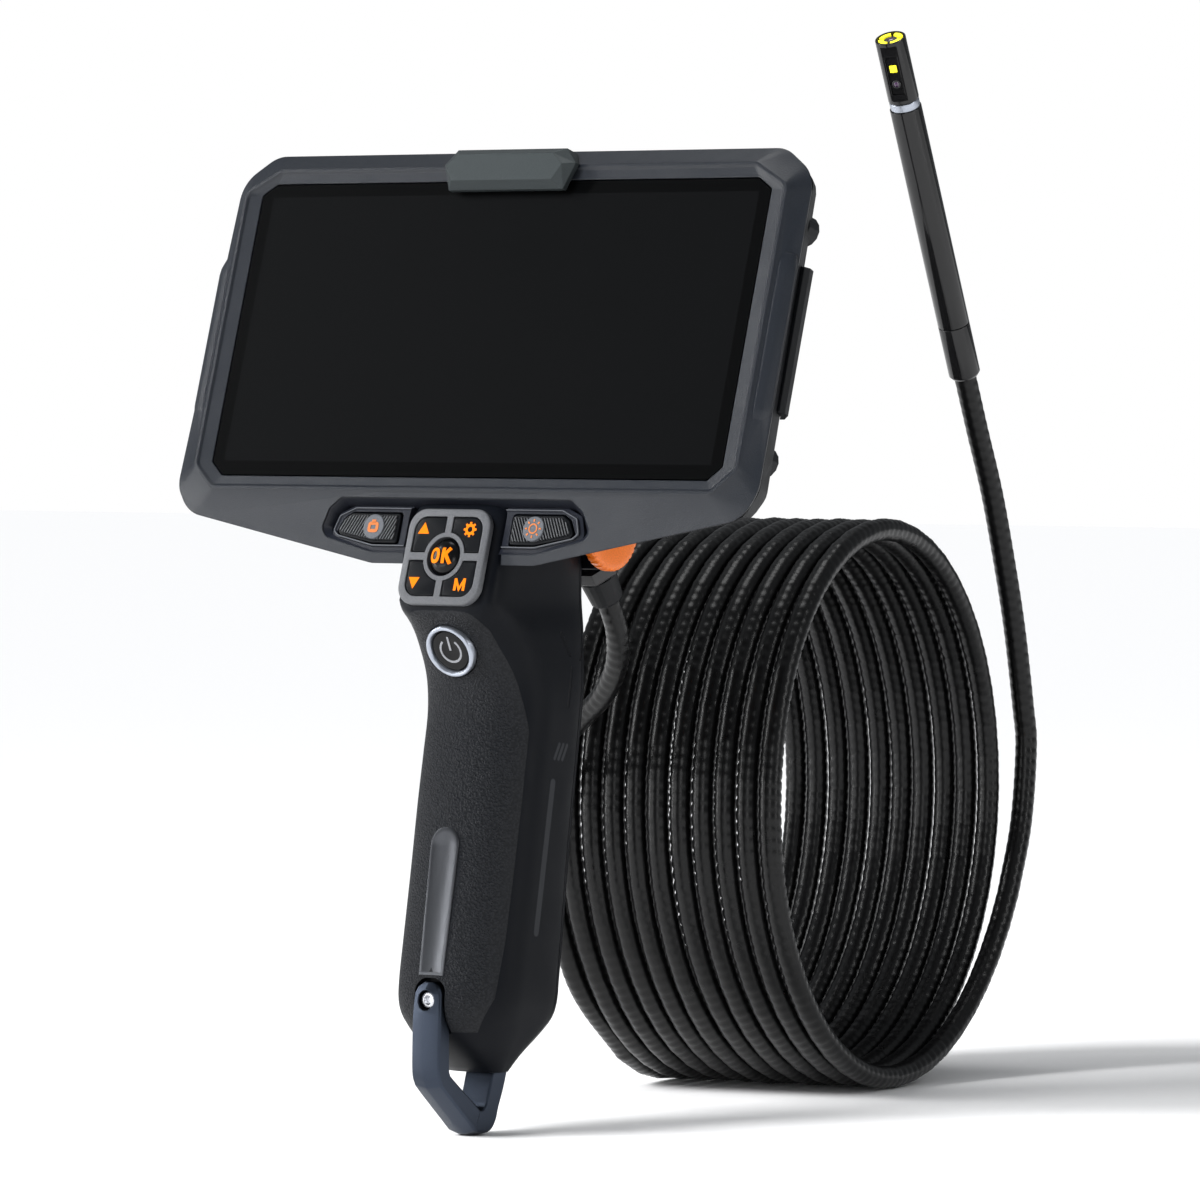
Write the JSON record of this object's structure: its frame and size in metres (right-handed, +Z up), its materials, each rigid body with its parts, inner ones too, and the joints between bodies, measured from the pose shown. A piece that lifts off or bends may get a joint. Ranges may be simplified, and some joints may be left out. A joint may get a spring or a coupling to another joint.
{
  "type": "handheld inspection camera",
  "caption": "Handheld inspection camera: wide tilted display over a pistol grip with keypad and carry loop, a coiled cable behind and a turning camera probe.",
  "frame": {"origin": "floor under the middle of the handheld body's width and depth", "axes": "+Z up, -Y toward the user facing the display, +X to the user's right"},
  "size_m": [0.1788, 0.2685, 0.2764],
  "materials": {
    "housing": "satin",
    "rubber": "matte",
    "glass": "gloss",
    "panel": "satin",
    "board": "satin",
    "badge": "satin",
    "deck": "satin",
    "frame": "satin",
    "key": "satin",
    "handle": "satin",
    "grip": "leather grain",
    "plate": "brushed",
    "silver": "polished",
    "gloss": "gloss",
    "anodised": "anodised",
    "steel": "satin",
    "orange": "satin",
    "cell": "wrapped",
    "cable": "semi gloss",
    "lens": "gloss",
    "led": "clear",
    "dark": "satin"
  },
  "bodies": {
    "device": {"front_bezel": "housing", "rear_housing": "rubber", "screen_glass": "glass", "lcd_panel": "panel", "main_board": "board", "badge_plate": "badge", "button_deck_left": "deck", "button_deck_right": "deck", "keypad_frame": "frame", "key_board": "board", "handle_shell": "handle", "handle_back": "handle", "grip_skin": "grip", "nameplate": "plate", "power_ring": "silver", "battery_cell": "cell", "carry_loop": "anodised", "loop_screw": "steel", "handle_screw_1": "steel", "handle_screw_2": "steel", "rear_screw_1": "steel", "rear_screw_2": "steel", "rear_screw_3": "steel", "rear_screw_4": "steel", "charge_socket": "steel", "rear_pod": "handle", "gland_nut": "dark", "cable_boot": "rubber", "cable_tail": "cable", "cable_coil": "cable", "cable_lead": "cable", "probe_ferrule": "gloss", "probe_barrel": "gloss", "swivel_ring": "silver"},
    "up_key": {"key_up": "key"},
    "down_key": {"key_down": "key"},
    "settings_key": {"key_settings": "key"},
    "mode_key": {"key_mode": "key"},
    "ok_key": {"key_ok": "gloss"},
    "photo_key": {"photo_button": "key"},
    "light_key": {"light_button": "key"},
    "power_key": {"power_button": "gloss"},
    "door": {"port_door": "rubber"},
    "dial": {"dial_ring": "orange", "dial_hub": "gloss"},
    "tip": {"probe_head": "gloss", "side_window": "dark", "side_lens": "lens", "side_led": "led", "front_lens_disc": "dark", "front_led_1": "led", "front_led_2": "led", "front_led_3": "led", "front_led_4": "led"}
  },
  "joints": [
    {"name": "up_key_press", "type": "slide", "parent": "device", "child": "up_key", "axis": [0, 0.956, -0.2932], "range_m": [0, 0.0006], "stiffness_N_per_m": 400},
    {"name": "down_key_press", "type": "slide", "parent": "device", "child": "down_key", "axis": [0, 0.956, -0.2932], "range_m": [0, 0.0006], "stiffness_N_per_m": 400},
    {"name": "settings_key_press", "type": "slide", "parent": "device", "child": "settings_key", "axis": [0, 0.956, -0.2932], "range_m": [0, 0.0006], "stiffness_N_per_m": 400},
    {"name": "mode_key_press", "type": "slide", "parent": "device", "child": "mode_key", "axis": [0, 0.956, -0.2932], "range_m": [0, 0.0006], "stiffness_N_per_m": 400},
    {"name": "ok_key_press", "type": "slide", "parent": "device", "child": "ok_key", "axis": [0, 0.956, -0.2932], "range_m": [0, 0.0006], "stiffness_N_per_m": 400},
    {"name": "photo_key_press", "type": "slide", "parent": "device", "child": "photo_key", "axis": [0, 0.956, -0.2932], "range_m": [0, 0.0006], "stiffness_N_per_m": 400},
    {"name": "light_key_press", "type": "slide", "parent": "device", "child": "light_key", "axis": [0, 0.956, -0.2932], "range_m": [0, 0.0006], "stiffness_N_per_m": 400},
    {"name": "power_key_press", "type": "slide", "parent": "device", "child": "power_key", "axis": [0, 0.9107, 0.413], "range_m": [0, 0.0005], "stiffness_N_per_m": 500},
    {"name": "door_hinge", "type": "hinge", "parent": "device", "child": "door", "pos_m": [0.0846, 0.00241, 0.19411], "axis": [0, 0.2932, 0.956], "range_deg": [0, 110]},
    {"name": "dial_turn", "type": "hinge", "parent": "device", "child": "dial", "pos_m": [0, 0.01923, 0.149], "axis": [1, 0, 0], "range_deg": [-180, 180]},
    {"name": "tip_turn", "type": "hinge", "parent": "device", "child": "tip", "pos_m": [0.01506, 0.15174, 0.25917], "axis": [0.0788, -0.4706, 0.8788], "range_deg": [-180, 180]}
  ],
  "couplings": [
    {"joint": "tip_turn", "follows": "dial_turn", "ratio": 1}
  ]
}
